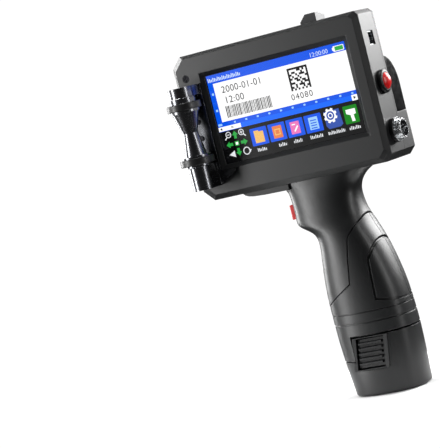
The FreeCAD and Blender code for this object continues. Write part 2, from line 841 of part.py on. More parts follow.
def bracket_screws():
    screws = []
    for z in bracket_screw_heights():
        head = rod((roller_x, head_front - bracket_t - 0.7, z), (0, 1, 0), small_head_r, 0.7)
        shank = rod((roller_x, head_front - bracket_t, z), (0, 1, 0), small_screw_r, 1.2 + 1.0)
        screws.append(head.fuse(shank))
    return group(screws)


def roller_axle():
    """Steel pin, with the head of its retaining screw in the upper boss."""
    pin = rod((roller_x, roller_y, z_foot + 2), (0, 0, 1), axle_r, roller_top - 2 - z_foot - 2)
    head = rod((roller_x, roller_y, roller_top - 2), (0, 0, 1), axle_r + 1.5, 1.4)
    slot = box(roller_x - 3, roller_x + 3, roller_y - 0.3, roller_y + 0.3, roller_top - 1.2,
               roller_top + 1)
    return pin.fuse(head).cut(slot)


def roller_core():
    hub_r = bush_r + 0.7
    low = z_boss2 - cup_depth + 2.6
    g = roller_gap
    ring_r = band_r - band_t
    pts = [(0, z_boss1 - g), (neck_r, z_boss1 - g), (neck_r, z_band1), (ring_r, z_band1),
           (ring_r, z_step1), (step_r, z_step1), (step_r, z_cone1), (cone_top_r, z_cone1),
           (waist_r, z_waist), (cone_low_r, z_cone2), (step_r, z_cone2), (step_r, z_band2),
           (ring_r, z_band2), (ring_r, z_step2), (ring_step_r, z_step2), (ring_step_r, z_boss2 + g),
           (hub_r, z_boss2 + g), (hub_r, low), (0, low)]
    body = turned(pts, roller_x, roller_y)
    body = body.cut(rod((roller_x, roller_y, low - 1), (0, 0, 1), axle_r + 0.5, 100))
    for z0 in bush_heights():
        body = body.cut(rod((roller_x, roller_y, z0), (0, 0, 1), bush_r, bush_len))
    return body


def bush_heights():
    return (z_boss1 - roller_gap - bush_len, z_boss2 - cup_depth + 2.6)


def roller_bushes():
    bushes = []
    for z0 in bush_heights():
        ring = rod((roller_x, roller_y, z0), (0, 0, 1), bush_r, bush_len)
        bushes.append(ring.cut(rod((roller_x, roller_y, z0 - 1), (0, 0, 1), axle_r + axle_clear,
                                   bush_len + 2)))
    return group(bushes)


def roller_band(z0, h):
    ring = rod((roller_x, roller_y, z0), (0, 0, 1), band_r, h)
    rims = [e for e in ring.Edges if abs(e.Length - 2 * math.pi * band_r) < 0.1]
    ring = ring.makeFillet(0.5, rims)
    return ring.cut(rod((roller_x, roller_y, z0 - 1), (0, 0, 1), band_r - band_t, h + 2))


def encoder_disc():
    z0 = z_boss2 - cup_depth + 4.2
    disc = rod((roller_x, roller_y, z0), (0, 0, 1), disc_r, disc_t)
    disc = disc.cut(rod((roller_x, roller_y, z0 - 1), (0, 0, 1), bush_r + 0.7, 4))
    slots = 24
    for i in range(slots):
        t = 2 * math.pi * i / slots
        slot = box(4.1, 4.9, -0.2, 0.2, z0 - 1, z0 + 2)
        slot.rotate(V(0, 0, 0), V(0, 0, 1), math.degrees(t))
        slot.translate(V(roller_x, roller_y, 0))
        disc = disc.cut(slot)
    return disc


def encoder_sensor():
    z0 = z_boss2 - cup_depth
    x, y = roller_x, roller_y
    return box(x - 1.2, x + 1.2, y + 4.0, y + 5.4, z0, z0 + 3.6)


# ---------------------------------------------------------------- trigger
def trigger_button():
    """Red button with a retaining flange behind the handle's wall."""
    w, h = trigger_w / 2, trigger_h / 2
    body = box(trigger_face_x, trigger_back_x, -w, w, trigger_z - h, trigger_z + h)
    edges = [e for e in body.Edges if e.CenterOfMass.x < trigger_face_x + 0.1]
    body = body.makeFillet(0.8, edges)
    w, h = w + trigger_lip, h + trigger_lip
    flange = box(trigger_back_x - 1.2, trigger_back_x, -w, w, trigger_z - h, trigger_z + h)
    return fuse([body, flange])


trigger_back_x = -29.0
switch_x0 = trigger_back_x + trigger_travel + 0.4


def trigger_switch():
    body = box(switch_x0 + 1.0, switch_x0 + 7.5, -6.2, 6.2, trigger_z - 5.0, trigger_z + 5.0)
    knob = rod((switch_x0 - 0.2, 0, trigger_z + 1.5), (1, 0, 0), 1.1, 1.6)
    legs = [box(switch_x0 + 7.5, switch_x0 + 10.5, y - 0.3, y + 0.3, trigger_z - 1.5, trigger_z + 1.5)
            for y in (-4.5, 0.0, 4.5)]
    return fuse([body, knob] + legs)


# ---------------------------------------------------------------- cartridge and latch
def cartridge_outline(inset):
    x0, x1 = cart_x0 + inset, cart_x1 - inset
    z0, z1 = cart_z0 + inset, cart_z1 - inset
    return [(x0, z0 + 6), (x0 + 4, z0), (x1 - 7, z0), (x1, z0 + 7), (x1, z1 - 3), (x1 - 3, z1),
            (x0 + 10, z1), (x0, z1 - 16)]


cart_split_y = cart_y0 + cart_t - 5.0


def cartridge_body():
    """Hollow ink tank, open to its lid, with the snout that carries the nozzle plate."""
    body = plate_xz(cartridge_outline(0), cart_y0, cart_split_y)
    body = body.cut(plate_xz(cartridge_outline(cart_wall), cart_y0 + cart_wall, cart_split_y + 1))
    ys = snout_y
    snout = box(cart_x0 - snout_len + 0.2, cart_x0 + 0.5, ys - snout_t / 2, ys + snout_t / 2, snout_z0,
                snout_z1)
    snout = snout.cut(box(cart_x0 - 60, cart_x0 + 60, cart_split_y, far, 0, far))
    return fuse([body, snout])


def cartridge_lid():
    """Lid with the ridged finger rib that stands out of the bay."""
    lid = plate_xz(cartridge_outline(0), cart_split_y, cart_y0 + cart_t)
    y1 = cart_y0 + cart_t
    mid = (cart_z0 + cart_z1) / 2
    rib = box(cart_x1 - 16, cart_x1 - 4, y1, y1 + cart_grip_out, mid - 15, mid + 15)
    upright = [e for e in rib.Edges if e.CenterOfMass.y > y1 + cart_grip_out - 0.1]
    rib = rib.makeFillet(1.6, upright)
    lid = fuse([lid, rib])
    for i in range(6):
        z = mid - 11.5 + 4.6 * i
        lid = lid.cut(box(cart_x1 - 18, cart_x1 - 14.9, y1 + 1.0, far, z - 0.7, z + 0.7))
    return lid


def nozzle_plate():
    x0 = cart_x0 - snout_len
    ys = snout_y
    plate = box(x0, x0 + 0.2, ys - 4.0, ys + 4.0, snout_z0 + 4, snout_z1 - 4)
    return plate


def cartridge_contacts():
    """Gold flex with contact pads on the tank's inner face."""
    y0 = cart_y0 - 0.12
    pads = []
    for row in range(contact_rows):
        for col in range(contact_columns):
            x = cart_x0 + contact_in + contact_pitch_x * col
            z = contact_z + contact_pitch_z * row
            pads.append(box(x - 1.2, x + 1.2, y0, cart_y0, z - 1.5, z + 1.5))
    return group(pads)


def cartridge_label():
    y1 = cart_y0 + cart_t
    return box(cart_x0 + 6, cart_x1 - 20, y1, y1 + 0.15, cart_z0 + 9, cart_z1 - 18)


def contact_board():
    """Small board in the bay's floor with its pad of spring pins."""
    y1 = bay_floor_y
    z_top = contact_z + contact_pitch_z * contact_rows
    return box(cart_x0 + 4, cart_x0 + 19, y1, y1 + 0.2, contact_z - 4, z_top)


def contact_pins():
    pins = []
    y1 = bay_floor_y + 0.2
    for row in range(contact_rows):
        for col in range(contact_columns):
            x = cart_x0 + contact_in + contact_pitch_x * col
            z = contact_z + contact_pitch_z * row
            pins.append(rod((x, y1, z), (0, 1, 0), 0.4, 0.13))
    return group(pins)


nose_z = latch_pivot_z - 16.0


def latch_lever():
    """Rocking lever: finger tab above the roof, nose against the cartridge's tail."""
    y0, y1 = latch_y0, latch_y0 + latch_w
    px, pz = latch_pivot_x, latch_pivot_z
    z0 = block_top - 4.0
    face = plate_xz([(tab_x0, z0), (tab_x1, z0), (tab_x1, latch_top),
                     (tab_x0 + tab_slope, latch_top), (tab_x0, latch_top - tab_slope)], y0, far)
    side = plate_yz([(y0, z0), (y1, z0), (y1, block_top + 1.0), (tab_back, block_top + 1.0),
                     (tab_back, latch_top - tab_drop), (y0 + 3.0, latch_top), (y0, latch_top)],
                    tab_x0, tab_x1)
    tab = face.common(side)
    stem = box(px - latch_arm / 2, px + latch_arm / 2, y0, y1, nose_z - 3, z0 + 0.5)
    eye = rod((px, y0, pz), (0, 1, 0), 3.6, latch_w)
    nose = plate_xz([(cart_x1 + 0.3, nose_z - 3), (cart_x1 + 0.3, nose_z + 2),
                     (px, nose_z + 5), (px, nose_z - 3)], y0 + 1.5, y1 - 1.5)
    body = fuse([tab, stem, eye, nose])
    return body.cut(rod((px, y0 - 1, pz), (0, 1, 0), latch_pin_r + axle_clear, latch_w + 2))


def latch_pin():
    y1 = head_rear - head_wall
    return rod((latch_pivot_x, latch_y0 - 1.6, latch_pivot_z), (0, 1, 0), latch_pin_r,
               y1 - latch_y0 + 1.6)


def latch_spring():
    """Leaf behind the lever's lower arm, screwed to the bay's end wall."""
    x = latch_pivot_x + latch_arm / 2 + 4.8
    return box(x, x + 0.5, latch_y0 + 3, latch_y0 + 8, block_bottom + head_wall + 40, nose_z + 2)


# ---------------------------------------------------------------- service cover
def rear_service_cover():
    x0, x1 = bulge_left + 0.2, head_right
    z_gap = 0.15
    outer = plate_yz([(y, z + (z_gap if z == bulge_low_z else 0)) for y, z in cover_profile(0)],
                     x0, x1)
    inner = plate_yz(cover_profile(cover_wall), x0 + cover_wall, x1 - cover_wall)
    keep = box(x0 - 1, x1 + 1, head_part_y + head_wall, far, bulge_low_z + z_gap, far)
    body = outer.common(keep).cut(inner)
    for x in cover_screw_places():
        body = body.cut(rod((x, head_part_y, cover_screw_z), (0, 1, 0), screw_r + 0.1, 20))
        body = body.cut(rod((x, head_rear - 0.9, cover_screw_z), (0, 1, 0),
                            screw_head_r + head_clear, 20))
    return body


cover_screw_z = bulge_low_z + 5.0


def cover_screw_places():
    return (bulge_left + 7.0, head_right - 7.0)


def cover_screws():
    """Two cross-slot screws through the cover's back into the rear shell's posts."""
    seat = head_rear - 0.9
    return group([cross_screw(x, seat, cover_screw_z, 6.0) for x in cover_screw_places()])


# ---------------------------------------------------------------- shell screws
def cross_screw(x, y, z, length):
    """Pan-head cross-slot screw driven from the back, head seat at y."""
    head = rod((x, y, z), (0, 1, 0), screw_head_r, screw_head_h)
    shank = rod((x, y - length, z), (0, 1, 0), screw_r, length + 0.1)
    y1 = y + screw_head_h
    slot = fuse([box(x - 1.4, x + 1.4, y1 - 0.8, y1 + 1, z - 0.3, z + 0.3),
                 box(x - 0.3, x + 0.3, y1 - 0.8, y1 + 1, z - 1.4, z + 1.4)])
    return head.fuse(shank).cut(slot)


def shell_screws():
    screws = []
    for x, z in shell_screw_places:
        seat = rear_seat(x, z)
        end = seam_y(z) - 7.0
        screws.append(cross_screw(x, seat, z, seat - end))
    return group(screws)


def face_screw():
    """Small cross-slot screw in the screen face above the roller bracket."""
    x, z = front_screw
    y = head_front + 0.9
    head = rod((x, y, z), (0, -1, 0), screw_head_r, 0.9)
    slot = fuse([box(x - 1.5, x + 1.5, y - 1.2, y - 0.4, z - 0.3, z + 0.3),
                 box(x - 0.3, x + 0.3, y - 1.2, y - 0.4, z - 1.5, z + 1.5)])
    return head.cut(slot)


# ---------------------------------------------------------------- battery
def battery_case():
    """Lower case and the stem that goes up into the handle."""
    low = handle_outer.common(half_space(-far, far, 0, handle_end_z - end_gap))
    rim = [e for e in low.Edges if e.BoundBox.ZMax < 0.01]
    low = low.makeFillet(rim_fillet, rim)
    low = fuse([low, release_frame(-1), release_frame(1)])
    inner = handle_body(handle_wall + tongue_clear)
    tongue = box(-far, collar_x + end_gap, -far, far, collar_end_z - end_gap, far)
    low = low.cut(tongue.cut(inner))
    stem = rounded_xy(stem_x0, stem_x1, -stem_half, stem_half, 10, stem_top, stem_r)
    w = stem_wall
    hollow = rounded_xy(stem_x0 + w, stem_x1 - w, -stem_half + w, stem_half - w, -1, stem_top - w,
                        stem_r - w)
    plate_seat = battery_plate_form(0.0, -1, base_plate_t)
    body = fuse([low, stem]).cut(hollow).cut(plate_seat)
    for side in (-1, 1):
        body = body.cut(release_room(side)).cut(release_moat(side))
    for y in terminal_places():
        body = body.cut(box(-terminal_w / 2 - 1, terminal_w / 2 - 1, y - terminal_t / 2,
                            y + terminal_t / 2, stem_top - 3, stem_top + 1))
    return body


def battery_plate_form(clear, z0, z1):
    m = 3.2 + clear
    z, xf, xr, yf, yr = base_stations[-1]
    return rounded_xy(xf + m, xr - m, yf + m, yr - m, z0, z1, 9.0)


def battery_base():
    plate = battery_plate_form(0.1, 0, base_plate_t)
    for x in (-15.5, 16.0):
        plate = plate.cut(rod((x, 0, -1), (0, 0, 1), 2.4, 2.0))
    return plate


def release_outline(grow_x, grow_z):
    w, h = release_w / 2 + grow_x, release_h / 2 + grow_z
    x, z, s = release_x, release_z, release_lean * h
    return [(x - w - s, z - h), (x + w - s, z - h), (x + w + s, z + h), (x - w + s, z + h)]


def release_frame(side):
    """Raised rim round the release button."""
    y0, y1 = sorted((side * (release_face - 4.0), side * (release_face + frame_out)))
    return plate_xz(release_outline(frame_rim_x, frame_rim_z), y0, y1)


def release_moat(side):
    """Groove all round the raised rim."""
    y0, y1 = sorted((side * (release_face - frame_moat_depth), side * (release_face + 10)))
    m = frame_moat
    ring = plate_xz(release_outline(frame_rim_x + m, frame_rim_z + m), y0, y1)
    return ring.cut(plate_xz(release_outline(frame_rim_x, frame_rim_z), y0, y1))


def release_room(side):
    back = release_face - release_t - release_travel - 0.2
    y0, y1 = sorted((side * back, side * (release_face + 10)))
    return plate_xz(release_outline(release_clear, release_clear), y0, y1)


def release_button(side):
    """Ribbed squeeze button in the battery's side."""
    y0, y1 = sorted((side * (release_face - release_t), side * (release_face - rib_root)))
    body = plate_xz(release_outline(0, 0), y0, y1)
    pitch = (release_h - 2.0) / release_ribs
    root, crest = side * (release_face - rib_root - 0.1), side * (release_face + release_out)
    w = release_w / 2 - 0.8
    for i in range(release_ribs):
        z = release_z - release_h / 2 + 1.0 + pitch * (i + 0.5)
        x = release_x + release_lean * (z - release_z)
        rib = [(root, z - pitch * 0.32), (crest, z - pitch * 0.18), (crest, z + pitch * 0.18),
               (root, z + pitch * 0.32)]
        body = body.fuse(plate_yz(rib, x - w, x + w))
    return body.removeSplitter()


def battery_cells():
    """Three upright cells in a triangle."""
    step = 2 * cell_r + cell_gap
    cx = (stem_x0 + stem_x1) / 2
    rise = step * math.sqrt(3) / 2
    places = [(cx - step / 2, -rise / 2), (cx + step / 2, -rise / 2), (cx, rise / 2)]
    cells = []
    for x, y in places:
        cells.append(rod((x, y, cell_z), (0, 0, 1), cell_r, cell_len))
        cells.append(rod((x, y, cell_z + cell_len), (0, 0, 1), 2.2, 0.8))
    return group(cells)


def battery_board():
    z0 = cell_z + cell_len + 1.6
    w = stem_wall + 0.6
    return rounded_xy(stem_x0 + w, stem_x1 - w, -stem_half + w, stem_half - w, z0, z0 + 1.2,
                      stem_r - w)


def terminal_places():
    return (-8.0, 0.0, 8.0)


def battery_terminals():
    z0 = cell_z + cell_len + 2.8
    return group([box(-terminal_w / 2 - 1, terminal_w / 2 - 1, y - terminal_t / 2, y + terminal_t / 2,
                      z0, stem_top + terminal_h) for y in terminal_places()])


def battery_contact_block():
    """Fixed block in the handle that meets the battery's terminals."""
    z0 = stem_top + terminal_h + 1.0
    block = box(-13.5, 7.0, -10.5, 10.5, z0, z0 + contact_block_h)
    for y in terminal_places():
        block = block.cut(box(-4.5, 2.5, y + terminal_t / 2, y + terminal_t / 2 + 0.6, z0 - 1,
                              z0 + contact_block_h + 1))
    return block


def contact_blades():
    z1 = stem_top + terminal_h + 1.0 + contact_block_h
    return group([box(-4.5, 2.5, y + terminal_t / 2 + 0.02, y + terminal_t / 2 + 0.58,
                      stem_top + 1.0, z1 + 2.0) for y in terminal_places()])


# ---------------------------------------------------------------- grip pieces
def grip_piece(outline, hole, side):
    mask = sleeve_mask(outline, -skin_gap)
    if hole:
        mask = mask.cut(sleeve_mask(hole, skin_gap))
    y0, y1 = (-far, handle_part_y - seam) if side < 0 else (handle_part_y + seam, far)
    mask = mask.common(half_space(y0, y1, -10, far))
    return mask.common(grip_outer).cut(handle_skin)


# ---------------------------------------------------------------- build
def main():
    os.makedirs("parts", exist_ok=True)
    write("front_shell", front_shell())
    write("rear_shell", rear_shell())
    write("print_end_plate", print_end_plate())
    write("display_gasket", display_gasket())
    write("touch_panel", centred(touch_w, touch_h, touch_y, touch_t))
    write("lcd_module", lcd_module())
    write("main_board", main_board())
    write("board_chips", board_chips())
    write("display_ribbon", display_ribbon())
    write("usb_socket", usb_socket())
    write("power_bezel", power_bezel())
    write("power_button", power_button())
    write("connector_shell", connector_shell())
    write("connector_washer", connector_washer())
    write("connector_insert", connector_insert())
    write("connector_pins", connector_pins())
    write("connector_nut", connector_nut())
    write("roller_bracket", roller_bracket())
    write("bracket_screws", bracket_screws())
    write("roller_axle", roller_axle())
    write("roller_core", roller_core())
    write("roller_bushes", roller_bushes())
    write("upper_roller_band", roller_band(z_step1, upper_band_h))
    write("lower_roller_band", roller_band(z_step2, lower_band_h))
    write("encoder_disc", encoder_disc())
    write("encoder_sensor", encoder_sensor())
    write("trigger_button", trigger_button())
    write("trigger_switch", trigger_switch())
    write("front_grip_sleeve", grip_piece(sleeve_outline, pad_outline, -1))
    write("rear_grip_sleeve", grip_piece(sleeve_outline, pad_outline, 1))
    write("front_palm_pad", grip_piece(pad_outline, None, -1))
    write("rear_palm_pad", grip_piece(pad_outline, None, 1))
    write("cartridge_body", cartridge_body())
    write("cartridge_lid", cartridge_lid())
    write("nozzle_plate", nozzle_plate())
    write("cartridge_contacts", cartridge_contacts())
    write("cartridge_label", cartridge_label())
    write("contact_board", contact_board())
    write("contact_pins", contact_pins())
    write("latch_lever", latch_lever())
    write("latch_pin", latch_pin())
    write("latch_spring", latch_spring())
    write("rear_service_cover", rear_service_cover())
    write("cover_screws", cover_screws())
    write("shell_screws", shell_screws())
    write("face_screw", face_screw())
    write("battery_case", battery_case())
    write("battery_base", battery_base())
    write("front_release_button", release_button(-1))
    write("rear_release_button", release_button(1))
    write("battery_cells", battery_cells())
    write("battery_board", battery_board())
    write("battery_terminals", battery_terminals())
    write("battery_contact_block", battery_contact_block())
    write("contact_blades", contact_blades())


main()
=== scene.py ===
import bpy
import json
import math
from mathutils import Matrix, Vector


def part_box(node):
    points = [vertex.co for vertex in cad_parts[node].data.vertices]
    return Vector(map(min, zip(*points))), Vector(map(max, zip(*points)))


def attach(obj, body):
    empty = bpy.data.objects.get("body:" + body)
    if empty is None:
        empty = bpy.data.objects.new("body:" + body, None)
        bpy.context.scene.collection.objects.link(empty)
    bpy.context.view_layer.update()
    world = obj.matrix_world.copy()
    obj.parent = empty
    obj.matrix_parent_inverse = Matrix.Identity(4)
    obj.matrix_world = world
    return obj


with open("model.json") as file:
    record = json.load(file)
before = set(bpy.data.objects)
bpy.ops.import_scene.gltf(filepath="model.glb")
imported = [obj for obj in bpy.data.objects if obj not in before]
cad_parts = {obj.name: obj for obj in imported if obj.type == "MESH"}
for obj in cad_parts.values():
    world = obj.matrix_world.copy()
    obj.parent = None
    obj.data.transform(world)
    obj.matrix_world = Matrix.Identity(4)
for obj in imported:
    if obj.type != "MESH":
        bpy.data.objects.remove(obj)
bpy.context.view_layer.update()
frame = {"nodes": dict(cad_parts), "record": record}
nodes = frame["nodes"]
mm = 0.001
screen_side = Matrix.Rotation(math.radians(90), 4, "X")      # turns a flat piece to face -Y


# ------------------------------------------------------------------ camera
# The printer is held turned by 14 degrees in the view; the lens is a long one.
view_back = Vector((0.50389, -0.86190, 0.05687)).normalized()
level = Vector((0.8633, 0.5047, 0.0)).normalized()
lift = view_back.cross(level)
roll = math.radians(14.1222)
camera_spot = Vector((556.306, -1102.341, 189.152)) * mm
camera_lens = 168.75
camera_sensor = 36.0
right = level * math.cos(roll) - lift * math.sin(roll)
up = level * math.sin(roll) + lift * math.cos(roll)
camera_data = bpy.data.cameras.new("view_camera")
camera_data.sensor_width = camera_sensor
camera_data.lens = camera_lens
camera_data.clip_start = 0.05
camera_data.clip_end = 50.0
camera = bpy.data.objects.new("view_camera", camera_data)
turn = Matrix((right, up, view_back)).transposed().to_4x4()
camera.matrix_world = Matrix.Translation(camera_spot) @ turn
bpy.context.scene.collection.objects.link(camera)
bpy.context.scene.camera = camera


# ------------------------------------------------------------------ materials
def srgb(code):
    """Linear colour of an sRGB hex value."""
    def channel(i):
        c = int(code[i:i + 2], 16) / 255
        return c / 12.92 if c <= 0.04045 else ((c + 0.055) / 1.055) ** 2.4
    return (channel(0), channel(2), channel(4), 1.0)


def add(tree, kind, settings=None, links=None):
    """Add one node, set its properties and socket values, and link sockets into it."""
    made = tree.nodes.new(kind)
    for key, value in (settings or {}).items():
        if isinstance(key, str) and hasattr(made, key):
            setattr(made, key, value)
        else:
            made.inputs[key].default_value = value
    for key, source in (links or {}).items():
        tree.links.new(source, made.inputs[key])
    return made


def start(name, code, roughness, surface=None):
    """New material with one shader; values that are the same all over sit on its sockets."""
    made = bpy.data.materials.new(name)
    made.use_nodes = True
    tree = made.node_tree
    tree.nodes.clear()
    values = {"Base Color": srgb(code), "Roughness": roughness}
    values.update(surface or {})
    shader = add(tree, "ShaderNodeBsdfPrincipled", values)
    add(tree, "ShaderNodeOutputMaterial", links={"Surface": shader.outputs["BSDF"]})
    where = add(tree, "ShaderNodeTexCoord").outputs["Object"]
    return made, tree, shader, where


def per_mm(spacing):
    """Noise scale, per metre, of a pattern with this spacing in millimetres."""
    return 1.0 / (spacing * mm)


def moulded(name, dark, light, rough, grain, relief, edge, surface=None):
    """Moulded plastic.  The tool's eroded grain breaks up the gloss, the tone drifts a little
    over some centimetres, and the edges have the small radius that moulding gives them.
    grain, relief and edge are in millimetres, rough is the lowest and highest roughness."""
    made, tree, shader, where = start(name, dark, rough[0], surface)
    drift = add(tree, "ShaderNodeTexNoise", {"Scale": per_mm(38), "Detail": 3.0}, {"Vector": where})
    tone = add(tree, "ShaderNodeMix", {"data_type": "RGBA", 6: srgb(dark), 7: srgb(light)},
               {0: drift.outputs["Fac"]})
    skin = add(tree, "ShaderNodeTexNoise", {"Scale": per_mm(grain), "Detail": 2.0,
                                            "Roughness": 0.6}, {"Vector": where})
    gloss = add(tree, "ShaderNodeMapRange", {"From Min": 0.35, "From Max": 0.65,
                                             "To Min": rough[0], "To Max": rough[1]},
                {"Value": skin.outputs["Fac"]})
    soft = add(tree, "ShaderNodeBevel", {"samples": 4, "Radius": edge * mm})
    bump = add(tree, "ShaderNodeBump", {"Strength": 1.0, "Distance": relief * mm},
               {"Height": skin.outputs["Fac"], "Normal": soft.outputs["Normal"]})
    tree.links.new(tone.outputs[2], shader.inputs["Base Color"])
    tree.links.new(gloss.outputs["Result"], shader.inputs["Roughness"])
    tree.links.new(bump.outputs["Normal"], shader.inputs["Normal"])
    return made


metal_edge = 0.12     # broken edge of machined parts


def machined(name, dark, light, rough, axis, pitch, relief):
    """Metal with fine tool or brush lines across one axis, pitch millimetres apart."""
    made, tree, shader, where = start(name, dark, rough[0], {"Metallic": 1.0})
    stretch = [per_mm(pitch * 30)] * 3
    stretch["XYZ".index(axis)] = per_mm(pitch)
    lines = add(tree, "ShaderNodeMapping", {"Scale": stretch}, {"Vector": where})
    brush = add(tree, "ShaderNodeTexNoise", {"Scale": 1.0, "Detail": 4.0, "Roughness": 0.7},
                {"Vector": lines.outputs["Vector"]})
    tone = add(tree, "ShaderNodeMix", {"data_type": "RGBA", 6: srgb(dark), 7: srgb(light)},
               {0: brush.outputs["Fac"]})
    gloss = add(tree, "ShaderNodeMapRange", {"From Min": 0.3, "From Max": 0.7,
                                             "To Min": rough[0], "To Max": rough[1]},
                {"Value": brush.outputs["Fac"]})
    soft = add(tree, "ShaderNodeBevel", {"samples": 4, "Radius": metal_edge * mm})
    bump = add(tree, "ShaderNodeBump", {"Strength": 1.0, "Distance": relief * mm},
               {"Height": brush.outputs["Fac"], "Normal": soft.outputs["Normal"]})
    tree.links.new(tone.outputs[2], shader.inputs["Base Color"])
    tree.links.new(gloss.outputs["Result"], shader.inputs["Roughness"])
    tree.links.new(bump.outputs["Normal"], shader.inputs["Normal"])
    return made


def circuit_board(name, mask, track):
    """Fibreglass board under green solder mask, with paler copper tracks 0.6 mm apart."""
    made, tree, shader, where = start(name, mask, 0.35, {"Coat Weight": 0.4})
    flat = add(tree, "ShaderNodeMapping", {"Rotation": (math.radians(90), 0, 0)},
               {"Vector": where})
    tracks = add(tree, "ShaderNodeTexBrick",
                 {"offset": 0.37, "Scale": 1000.0, "Color1": srgb(track), "Color2": srgb(mask),
                  "Mortar": srgb(mask), "Mortar Size": 0.22, "Brick Width": 4.2,
                  "Row Height": 0.6}, {"Vector": flat.outputs["Vector"]})
    tree.links.new(tracks.outputs["Color"], shader.inputs["Base Color"])
    bump = add(tree, "ShaderNodeBump", {"Strength": 1.0, "Distance": 0.03 * mm},
               {"Height": tracks.outputs["Fac"]})
    tree.links.new(bump.outputs["Normal"], shader.inputs["Normal"])
    return made


def lit_pixels(name, code, strength):
    """Backlit liquid crystal under its cover glass: a square pixel grid of 0.24 mm, drawn a
    little coarser than the real one, below a smooth clear surface."""
    made, tree, shader, where = start(name, "050505", 0.25, {
        "Emission Strength": strength, "Coat Weight": 0.35, "Coat Roughness": 0.06})
    flat = add(tree, "ShaderNodeMapping", {"Rotation": (math.radians(90), 0, 0)},
               {"Vector": where})
    full = srgb(code)
    gap = tuple(c * 0.72 for c in full[:3]) + (1.0,)
    grid = add(tree, "ShaderNodeTexBrick",
               {"offset": 0.0, "Scale": 1000.0, "Color1": full, "Color2": full, "Mortar": gap,
                "Mortar Size": 0.015, "Brick Width": 0.24, "Row Height": 0.24},
               {"Vector": flat.outputs["Vector"]})
    tree.links.new(grid.outputs["Color"], shader.inputs["Emission Color"])
    return made


def cover_glass():
    """Toughened touch glass with a black printed border on its back, so it mirrors softly
    and shows faint wiping marks."""
    made, tree, shader, where = start("touch_glass_toughened", "060607", 0.06,
                                      {"IOR": 1.52, "Coat Weight": 0.5})
    smear = add(tree, "ShaderNodeTexNoise", {"Scale": per_mm(9), "Detail": 5.0,
                                             "Distortion": 0.6}, {"Vector": where})
    gloss = add(tree, "ShaderNodeMapRange", {"To Min": 0.04, "To Max": 0.16},
                {"Value": smear.outputs["Fac"]})
    tree.links.new(gloss.outputs["Result"], shader.inputs["Roughness"])
    return made


def coated_label():
    """Coated paper label, white with a pale blue band."""
    made, tree, shader, where = start("cartridge_label_coated_paper", "AEB4BA", 0.5)
    split = add(tree, "ShaderNodeSeparateXYZ", links={"Vector": where})
    low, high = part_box("cartridge_label")
    band = add(tree, "ShaderNodeMath", {"operation": "GREATER_THAN",
                                        1: low.z + 0.72 * (high.z - low.z)},
               {0: split.outputs["Z"]})
    tone = add(tree, "ShaderNodeMix", {"data_type": "RGBA", 6: srgb("AEB4BA"),
                                       7: srgb("2C5C92")}, {0: band.outputs["Value"]})
    fibre = add(tree, "ShaderNodeTexNoise", {"Scale": per_mm(0.5), "Detail": 3.0},
                {"Vector": where})
    bump = add(tree, "ShaderNodeBump", {"Strength": 0.6, "Distance": 0.02 * mm},
               {"Height": fibre.outputs["Fac"]})
    tree.links.new(tone.outputs[2], shader.inputs["Base Color"])
    tree.links.new(bump.outputs["Normal"], shader.inputs["Normal"])
    return made


def shrink_sleeve():
    """PVC shrink sleeve over a steel cell: blue film with fine wrinkles."""
    made, tree, shader, where = start("cell_shrink_sleeve", "1F4E9A", 0.25,
                                      {"Coat Weight": 0.3})
    wrinkle = add(tree, "ShaderNodeTexWave", {"bands_direction": "Z", "Scale": per_mm(14),
                                              "Distortion": 3.0, "Detail": 2.0},
                  {"Vector": where})
    bump = add(tree, "ShaderNodeBump", {"Strength": 0.5, "Distance": 0.06 * mm},
               {"Height": wrinkle.outputs["Fac"]})
    tree.links.new(bump.outputs["Normal"], shader.inputs["Normal"])
    return made


# Polycarbonate and ABS blend, spark-eroded tool: a dull dark grey with a soft sheen.
shell_plastic = moulded("shell_polycarbonate_abs", "111213", "161718", (0.34, 0.44), 0.45, 0.012,
                        0.5)
# The battery's case comes from a coarser tool and is a shade darker.
battery_plastic = moulded("battery_case_abs", "0F1011", "141516", (0.32, 0.42), 0.55, 0.016, 0.4)
release_plastic = moulded("release_button_abs", "0F1011", "141516", (0.30, 0.40), 0.5, 0.012, 0.2)
# Overmoulded thermoplastic elastomer: softer and a little darker than the shells.
grip_rubber = moulded("grip_elastomer", "0D0E0F", "131415", (0.34, 0.46), 0.35, 0.016, 0.3)
# Polished ABS: piano black, nearly a mirror with faint moulding waviness.
gloss_black = moulded("polished_black_abs", "08080A", "0B0B0D", (0.10, 0.16), 3.0, 0.004, 0.35)
# Turned aluminium, black anodised: soft broad streaks from the fine tool lines.
roller_black = machined("roller_black_anodised_aluminium", "5E5F62", "747578", (0.20, 0.28), "Z",
                        0.25, 0.002)
# Nitrile ring: matt black, slightly dusty.
roller_rubber = moulded("roller_nitrile_ring", "0D0D0E", "141415", (0.34, 0.46), 0.4, 0.012, 0.3)
latch_black = moulded("latch_glass_filled_nylon", "18181A", "212123", (0.35, 0.48), 0.4, 0.02,
                      0.3)
bezel_black = moulded("switch_bezel_nylon", "0B0B0C", "101011", (0.34, 0.44), 0.6, 0.006, 0.2,
                      {"Specular IOR Level": 0.3})
switch_black = moulded("switch_body_nylon", "101112", "17181A", (0.4, 0.5), 0.4, 0.01, 0.15)
chip_black = moulded("chip_epoxy", "0F1011", "16171A", (0.45, 0.6), 0.3, 0.01, 0.1)
insert_black = moulded("connector_insert_pbt", "0B0B0C", "111112", (0.3, 0.4), 0.4, 0.008, 0.15)
cartridge_black = moulded("cartridge_polypropylene", "101113", "18191B", (0.30, 0.42), 0.7,
                          0.015, 0.4)
gasket_foam = moulded("gasket_closed_cell_foam", "0A0A0A", "121212", (0.8, 0.95), 0.25, 0.05,
                      0.1)
